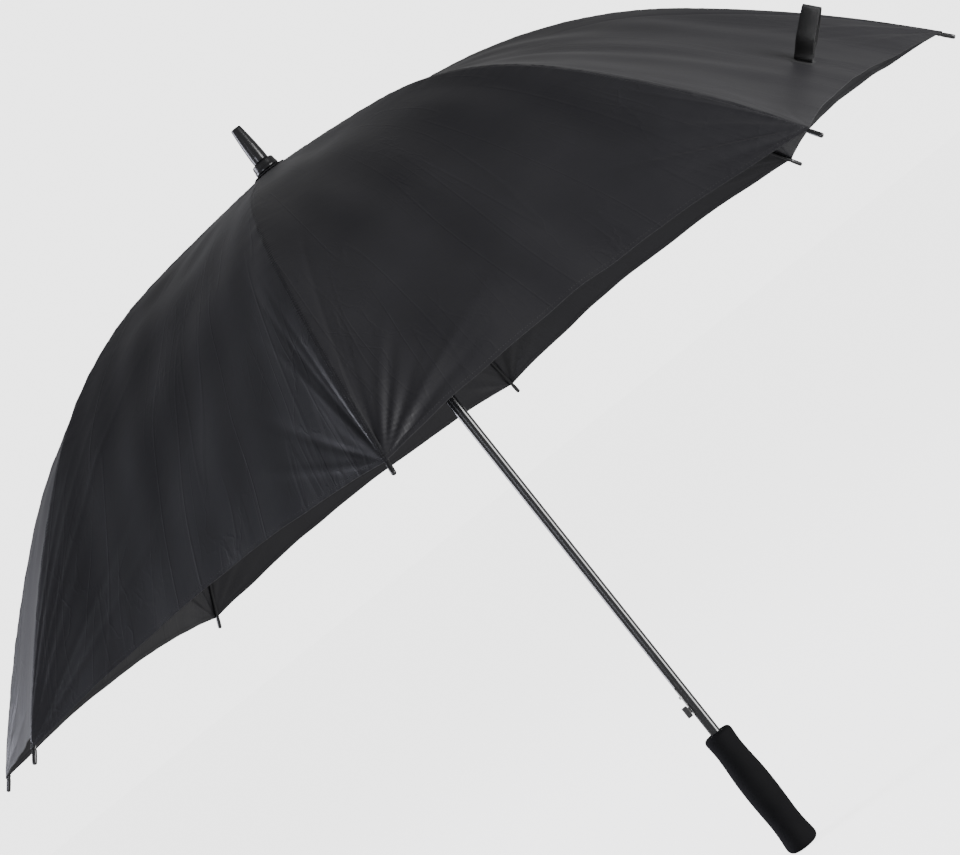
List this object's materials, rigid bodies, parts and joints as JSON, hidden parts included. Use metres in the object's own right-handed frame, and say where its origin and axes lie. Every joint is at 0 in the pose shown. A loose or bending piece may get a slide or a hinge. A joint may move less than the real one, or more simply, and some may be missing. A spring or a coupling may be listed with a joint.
{
  "type": "golf umbrella",
  "caption": "Long straight umbrella, open: curved ribs and stretchers under a black fabric dome, a sliding runner on a slim shaft, ferrule on top and a contoured foam grip below.",
  "frame": {"origin": "centre of the flat end of the grip, on the shaft axis", "axes": "+Z along the shaft from the grip to the ferrule, +X towards rib 1"},
  "size_m": [1.3188, 1.3188, 0.9905],
  "materials": {
    "canopy_fabric": "near-black woven polyester, matte with a faint sheen",
    "strap_webbing": "black hook-and-loop band",
    "grip_foam": "matte black closed-cell foam",
    "black_plastic": "glossy moulded black",
    "shaft_paint": "glossy black paint on a steel tube",
    "rib_fibreglass": "black pultruded fibreglass, satin",
    "stretcher_steel": "dark coated steel",
    "spring_steel": "bare spring steel"
  },
  "bodies": {
    "shaft": {"shaft": "shaft_paint", "ferrule": "black_plastic", "ferrule_collar": "black_plastic", "rosette": "canopy_fabric", "crown_notch": "black_plastic", "crown_wire": "spring_steel", "runner_stop": "black_plastic", "opening_spring": "spring_steel", "spring_seat": "black_plastic", "handle_core": "black_plastic", "handle_grip": "grip_foam"},
    "release": {"release_lever": "spring_steel", "release_button": "black_plastic"},
    "runner": {"runner": "black_plastic", "runner_wire": "spring_steel", "spring_slider": "spring_steel"},
    "rib_inner_1": {"rib_inner_1": "rib_fibreglass"},
    "rib_outer_1": {"rib_outer_1": "rib_fibreglass"},
    "stretcher_1": {"stretcher_1": "stretcher_steel"},
    "rib_inner_2": {"rib_inner_2": "rib_fibreglass"},
    "rib_outer_2": {"rib_outer_2": "rib_fibreglass"},
    "stretcher_2": {"stretcher_2": "stretcher_steel"},
    "rib_inner_3": {"rib_inner_3": "rib_fibreglass"},
    "rib_outer_3": {"rib_outer_3": "rib_fibreglass"},
    "stretcher_3": {"stretcher_3": "stretcher_steel"},
    "rib_inner_4": {"rib_inner_4": "rib_fibreglass"},
    "rib_outer_4": {"rib_outer_4": "rib_fibreglass"},
    "stretcher_4": {"stretcher_4": "stretcher_steel"},
    "rib_inner_5": {"rib_inner_5": "rib_fibreglass"},
    "rib_outer_5": {"rib_outer_5": "rib_fibreglass"},
    "stretcher_5": {"stretcher_5": "stretcher_steel"},
    "rib_inner_6": {"rib_inner_6": "rib_fibreglass"},
    "rib_outer_6": {"rib_outer_6": "rib_fibreglass"},
    "stretcher_6": {"stretcher_6": "stretcher_steel"},
    "rib_inner_7": {"rib_inner_7": "rib_fibreglass"},
    "rib_outer_7": {"rib_outer_7": "rib_fibreglass"},
    "stretcher_7": {"stretcher_7": "stretcher_steel"},
    "rib_inner_8": {"rib_inner_8": "rib_fibreglass"},
    "rib_outer_8": {"rib_outer_8": "rib_fibreglass"},
    "stretcher_8": {"stretcher_8": "stretcher_steel"},
    "canopy_upper_1": {"canopy_upper_1": "canopy_fabric"},
    "canopy_lower_1": {"canopy_lower_1": "canopy_fabric", "closure_strap": "strap_webbing", "strap_patch": "strap_webbing"},
    "canopy_upper_2": {"canopy_upper_2": "canopy_fabric"},
    "canopy_lower_2": {"canopy_lower_2": "canopy_fabric"},
    "canopy_upper_3": {"canopy_upper_3": "canopy_fabric"},
    "canopy_lower_3": {"canopy_lower_3": "canopy_fabric"},
    "canopy_upper_4": {"canopy_upper_4": "canopy_fabric"},
    "canopy_lower_4": {"canopy_lower_4": "canopy_fabric"},
    "canopy_upper_5": {"canopy_upper_5": "canopy_fabric"},
    "canopy_lower_5": {"canopy_lower_5": "canopy_fabric"},
    "canopy_upper_6": {"canopy_upper_6": "canopy_fabric"},
    "canopy_lower_6": {"canopy_lower_6": "canopy_fabric"},
    "canopy_upper_7": {"canopy_upper_7": "canopy_fabric"},
    "canopy_lower_7": {"canopy_lower_7": "canopy_fabric"},
    "canopy_upper_8": {"canopy_upper_8": "canopy_fabric"},
    "canopy_lower_8": {"canopy_lower_8": "canopy_fabric"}
  },
  "joints": [
    {"name": "rib_fold_1", "type": "hinge", "parent": "shaft", "child": "rib_inner_1", "pos_m": [0.01, 0, 0.927], "axis": [0, 1, 0], "range_deg": [0, 76], "stiffness_Nm_per_rad": 2, "springref_deg": -85.94, "deforming": ["opening_spring"]},
    {"name": "rib_fold_2", "type": "hinge", "parent": "shaft", "child": "rib_inner_2", "pos_m": [0.00707, -0.00707, 0.927], "axis": [0.7071, 0.7071, 0], "range_deg": [0, 76]},
    {"name": "rib_fold_3", "type": "hinge", "parent": "shaft", "child": "rib_inner_3", "pos_m": [0, -0.01, 0.927], "axis": [1, 0, 0], "range_deg": [0, 76]},
    {"name": "rib_fold_4", "type": "hinge", "parent": "shaft", "child": "rib_inner_4", "pos_m": [-0.00707, -0.00707, 0.927], "axis": [0.7071, -0.7071, 0], "range_deg": [0, 76]},
    {"name": "rib_fold_5", "type": "hinge", "parent": "shaft", "child": "rib_inner_5", "pos_m": [-0.01, 0, 0.927], "axis": [0, -1, 0], "range_deg": [0, 76]},
    {"name": "rib_fold_6", "type": "hinge", "parent": "shaft", "child": "rib_inner_6", "pos_m": [-0.00707, 0.00707, 0.927], "axis": [-0.7071, -0.7071, 0], "range_deg": [0, 76]},
    {"name": "rib_fold_7", "type": "hinge", "parent": "shaft", "child": "rib_inner_7", "pos_m": [0, 0.01, 0.927], "axis": [-1, 0, 0], "range_deg": [0, 76]},
    {"name": "rib_fold_8", "type": "hinge", "parent": "shaft", "child": "rib_inner_8", "pos_m": [0.00707, 0.00707, 0.927], "axis": [-0.7071, 0.7071, 0], "range_deg": [0, 76]},
    {"name": "rib_bend_1", "type": "hinge", "parent": "rib_inner_1", "child": "rib_outer_1", "pos_m": [0.33552, 0, 0.85688], "axis": [0, 1, 0], "range_deg": [-26.27, 0]},
    {"name": "rib_bend_2", "type": "hinge", "parent": "rib_inner_2", "child": "rib_outer_2", "pos_m": [0.23725, -0.23725, 0.85688], "axis": [0.7071, 0.7071, 0], "range_deg": [-26.27, 0]},
    {"name": "rib_bend_3", "type": "hinge", "parent": "rib_inner_3", "child": "rib_outer_3", "pos_m": [0, -0.33552, 0.85688], "axis": [1, 0, 0], "range_deg": [-26.27, 0]},
    {"name": "rib_bend_4", "type": "hinge", "parent": "rib_inner_4", "child": "rib_outer_4", "pos_m": [-0.23725, -0.23725, 0.85688], "axis": [0.7071, -0.7071, 0], "range_deg": [-26.27, 0]},
    {"name": "rib_bend_5", "type": "hinge", "parent": "rib_inner_5", "child": "rib_outer_5", "pos_m": [-0.33552, 0, 0.85688], "axis": [0, -1, 0], "range_deg": [-26.27, 0]},
    {"name": "rib_bend_6", "type": "hinge", "parent": "rib_inner_6", "child": "rib_outer_6", "pos_m": [-0.23725, 0.23725, 0.85688], "axis": [-0.7071, -0.7071, 0], "range_deg": [-26.27, 0]},
    {"name": "rib_bend_7", "type": "hinge", "parent": "rib_inner_7", "child": "rib_outer_7", "pos_m": [0, 0.33552, 0.85688], "axis": [-1, 0, 0], "range_deg": [-26.27, 0]},
    {"name": "rib_bend_8", "type": "hinge", "parent": "rib_inner_8", "child": "rib_outer_8", "pos_m": [0.23725, 0.23725, 0.85688], "axis": [-0.7071, 0.7071, 0], "range_deg": [-26.27, 0]},
    {"name": "stretcher_fold_1", "type": "hinge", "parent": "rib_inner_1", "child": "stretcher_1", "pos_m": [0.32721, 0, 0.85398], "axis": [0, 1, 0], "range_deg": [-152, 0]},
    {"name": "stretcher_fold_2", "type": "hinge", "parent": "rib_inner_2", "child": "stretcher_2", "pos_m": [0.23137, -0.23137, 0.85398], "axis": [0.7071, 0.7071, 0], "range_deg": [-152, 0]},
    {"name": "stretcher_fold_3", "type": "hinge", "parent": "rib_inner_3", "child": "stretcher_3", "pos_m": [0, -0.32721, 0.85398], "axis": [1, 0, 0], "range_deg": [-152, 0]},
    {"name": "stretcher_fold_4", "type": "hinge", "parent": "rib_inner_4", "child": "stretcher_4", "pos_m": [-0.23137, -0.23137, 0.85398], "axis": [0.7071, -0.7071, 0], "range_deg": [-152, 0]},
    {"name": "stretcher_fold_5", "type": "hinge", "parent": "rib_inner_5", "child": "stretcher_5", "pos_m": [-0.32721, 0, 0.85398], "axis": [0, -1, 0], "range_deg": [-152, 0]},
    {"name": "stretcher_fold_6", "type": "hinge", "parent": "rib_inner_6", "child": "stretcher_6", "pos_m": [-0.23137, 0.23137, 0.85398], "axis": [-0.7071, -0.7071, 0], "range_deg": [-152, 0]},
    {"name": "stretcher_fold_7", "type": "hinge", "parent": "rib_inner_7", "child": "stretcher_7", "pos_m": [0, 0.32721, 0.85398], "axis": [-1, 0, 0], "range_deg": [-152, 0]},
    {"name": "stretcher_fold_8", "type": "hinge", "parent": "rib_inner_8", "child": "stretcher_8", "pos_m": [0.23137, 0.23137, 0.85398], "axis": [-0.7071, 0.7071, 0], "range_deg": [-152, 0]},
    {"name": "runner_slide", "type": "hinge", "parent": "stretcher_1", "child": "runner", "pos_m": [0.01, 0, 0.78097], "axis": [0, 1, 0], "range_deg": [0, 76]},
    {"name": "gore_fold_1", "type": "hinge", "parent": "shaft", "child": "canopy_upper_1", "pos_m": [0.01016, -0.00421, 0.931], "axis": [0.3827, 0.9239, 0], "range_deg": [0, 71.75], "deforming": ["canopy_upper_1"]},
    {"name": "gore_fold_2", "type": "hinge", "parent": "shaft", "child": "canopy_upper_2", "pos_m": [0.00421, -0.01016, 0.931], "axis": [0.9239, 0.3827, 0], "range_deg": [0, 71.75], "deforming": ["canopy_upper_2"]},
    {"name": "gore_fold_3", "type": "hinge", "parent": "shaft", "child": "canopy_upper_3", "pos_m": [-0.00421, -0.01016, 0.931], "axis": [0.9239, -0.3827, 0], "range_deg": [0, 71.75], "deforming": ["canopy_upper_3"]},
    {"name": "gore_fold_4", "type": "hinge", "parent": "shaft", "child": "canopy_upper_4", "pos_m": [-0.01016, -0.00421, 0.931], "axis": [0.3827, -0.9239, 0], "range_deg": [0, 71.75], "deforming": ["canopy_upper_4"]},
    {"name": "gore_fold_5", "type": "hinge", "parent": "shaft", "child": "canopy_upper_5", "pos_m": [-0.01016, 0.00421, 0.931], "axis": [-0.3827, -0.9239, 0], "range_deg": [0, 71.75], "deforming": ["canopy_upper_5"]},
    {"name": "gore_fold_6", "type": "hinge", "parent": "shaft", "child": "canopy_upper_6", "pos_m": [-0.00421, 0.01016, 0.931], "axis": [-0.9239, -0.3827, 0], "range_deg": [0, 71.75], "deforming": ["canopy_upper_6"]},
    {"name": "gore_fold_7", "type": "hinge", "parent": "shaft", "child": "canopy_upper_7", "pos_m": [0.00421, 0.01016, 0.931], "axis": [-0.9239, 0.3827, 0], "range_deg": [0, 71.75], "deforming": ["canopy_upper_7"]},
    {"name": "gore_fold_8", "type": "hinge", "parent": "shaft", "child": "canopy_upper_8", "pos_m": [0.01016, 0.00421, 0.931], "axis": [-0.3827, 0.9239, 0], "range_deg": [0, 71.75], "deforming": ["canopy_upper_8"]},
    {"name": "gore_bend_1", "type": "hinge", "parent": "canopy_upper_1", "child": "canopy_lower_1", "pos_m": [0.28469, -0.11792, 0.85302], "axis": [0.3827, 0.9239, 0], "range_deg": [-23.46, 0], "deforming": ["canopy_lower_1", "closure_strap", "strap_patch"]},
    {"name": "gore_bend_2", "type": "hinge", "parent": "canopy_upper_2", "child": "canopy_lower_2", "pos_m": [0.11792, -0.28469, 0.85302], "axis": [0.9239, 0.3827, 0], "range_deg": [-23.46, 0], "deforming": ["canopy_lower_2"]},
    {"name": "gore_bend_3", "type": "hinge", "parent": "canopy_upper_3", "child": "canopy_lower_3", "pos_m": [-0.11792, -0.28469, 0.85302], "axis": [0.9239, -0.3827, 0], "range_deg": [-23.46, 0], "deforming": ["canopy_lower_3"]},
    {"name": "gore_bend_4", "type": "hinge", "parent": "canopy_upper_4", "child": "canopy_lower_4", "pos_m": [-0.28469, -0.11792, 0.85302], "axis": [0.3827, -0.9239, 0], "range_deg": [-23.46, 0], "deforming": ["canopy_lower_4"]},
    {"name": "gore_bend_5", "type": "hinge", "parent": "canopy_upper_5", "child": "canopy_lower_5", "pos_m": [-0.28469, 0.11792, 0.85302], "axis": [-0.3827, -0.9239, 0], "range_deg": [-23.46, 0], "deforming": ["canopy_lower_5"]},
    {"name": "gore_bend_6", "type": "hinge", "parent": "canopy_upper_6", "child": "canopy_lower_6", "pos_m": [-0.11792, 0.28469, 0.85302], "axis": [-0.9239, -0.3827, 0], "range_deg": [-23.46, 0], "deforming": ["canopy_lower_6"]},
    {"name": "gore_bend_7", "type": "hinge", "parent": "canopy_upper_7", "child": "canopy_lower_7", "pos_m": [0.11792, 0.28469, 0.85302], "axis": [-0.9239, 0.3827, 0], "range_deg": [-23.46, 0], "deforming": ["canopy_lower_7"]},
    {"name": "gore_bend_8", "type": "hinge", "parent": "canopy_upper_8", "child": "canopy_lower_8", "pos_m": [0.28469, 0.11792, 0.85302], "axis": [-0.3827, 0.9239, 0], "range_deg": [-23.46, 0], "deforming": ["canopy_lower_8"]},
    {"name": "button_press", "type": "hinge", "parent": "shaft", "child": "release", "pos_m": [-0.00499, -0.00207, 0.219], "axis": [0.3827, -0.9239, 0], "range_deg": [0, 3.4], "stiffness_Nm_per_rad": 1.5, "springref_deg": -1.72}
  ],
  "couplings": [
    {"joint": "rib_fold_2", "follows": "rib_fold_1", "ratio": 1},
    {"joint": "rib_fold_3", "follows": "rib_fold_1", "ratio": 1},
    {"joint": "rib_fold_4", "follows": "rib_fold_1", "ratio": 1},
    {"joint": "rib_fold_5", "follows": "rib_fold_1", "ratio": 1},
    {"joint": "rib_fold_6", "follows": "rib_fold_1", "ratio": 1},
    {"joint": "rib_fold_7", "follows": "rib_fold_1", "ratio": 1},
    {"joint": "rib_fold_8", "follows": "rib_fold_1", "ratio": 1},
    {"joint": "rib_bend_1", "follows": "rib_fold_1", "ratio": -0.34566},
    {"joint": "rib_bend_2", "follows": "rib_fold_1", "ratio": -0.34566},
    {"joint": "rib_bend_3", "follows": "rib_fold_1", "ratio": -0.34566},
    {"joint": "rib_bend_4", "follows": "rib_fold_1", "ratio": -0.34566},
    {"joint": "rib_bend_5", "follows": "rib_fold_1", "ratio": -0.34566},
    {"joint": "rib_bend_6", "follows": "rib_fold_1", "ratio": -0.34566},
    {"joint": "rib_bend_7", "follows": "rib_fold_1", "ratio": -0.34566},
    {"joint": "rib_bend_8", "follows": "rib_fold_1", "ratio": -0.34566},
    {"joint": "stretcher_fold_1", "follows": "rib_fold_1", "ratio": -2},
    {"joint": "stretcher_fold_2", "follows": "rib_fold_1", "ratio": -2},
    {"joint": "stretcher_fold_3", "follows": "rib_fold_1", "ratio": -2},
    {"joint": "stretcher_fold_4", "follows": "rib_fold_1", "ratio": -2},
    {"joint": "stretcher_fold_5", "follows": "rib_fold_1", "ratio": -2},
    {"joint": "stretcher_fold_6", "follows": "rib_fold_1", "ratio": -2},
    {"joint": "stretcher_fold_7", "follows": "rib_fold_1", "ratio": -2},
    {"joint": "stretcher_fold_8", "follows": "rib_fold_1", "ratio": -2},
    {"joint": "runner_slide", "follows": "rib_fold_1", "ratio": 1},
    {"joint": "gore_fold_1", "follows": "rib_fold_1", "ratio": 0.94408},
    {"joint": "gore_fold_2", "follows": "rib_fold_1", "ratio": 0.94408},
    {"joint": "gore_fold_3", "follows": "rib_fold_1", "ratio": 0.94408},
    {"joint": "gore_fold_4", "follows": "rib_fold_1", "ratio": 0.94408},
    {"joint": "gore_fold_5", "follows": "rib_fold_1", "ratio": 0.94408},
    {"joint": "gore_fold_6", "follows": "rib_fold_1", "ratio": 0.94408},
    {"joint": "gore_fold_7", "follows": "rib_fold_1", "ratio": 0.94408},
    {"joint": "gore_fold_8", "follows": "rib_fold_1", "ratio": 0.94408},
    {"joint": "gore_bend_1", "follows": "rib_fold_1", "ratio": -0.30862},
    {"joint": "gore_bend_2", "follows": "rib_fold_1", "ratio": -0.30862},
    {"joint": "gore_bend_3", "follows": "rib_fold_1", "ratio": -0.30862},
    {"joint": "gore_bend_4", "follows": "rib_fold_1", "ratio": -0.30862},
    {"joint": "gore_bend_5", "follows": "rib_fold_1", "ratio": -0.30862},
    {"joint": "gore_bend_6", "follows": "rib_fold_1", "ratio": -0.30862},
    {"joint": "gore_bend_7", "follows": "rib_fold_1", "ratio": -0.30862},
    {"joint": "gore_bend_8", "follows": "rib_fold_1", "ratio": -0.30862}
  ]
}
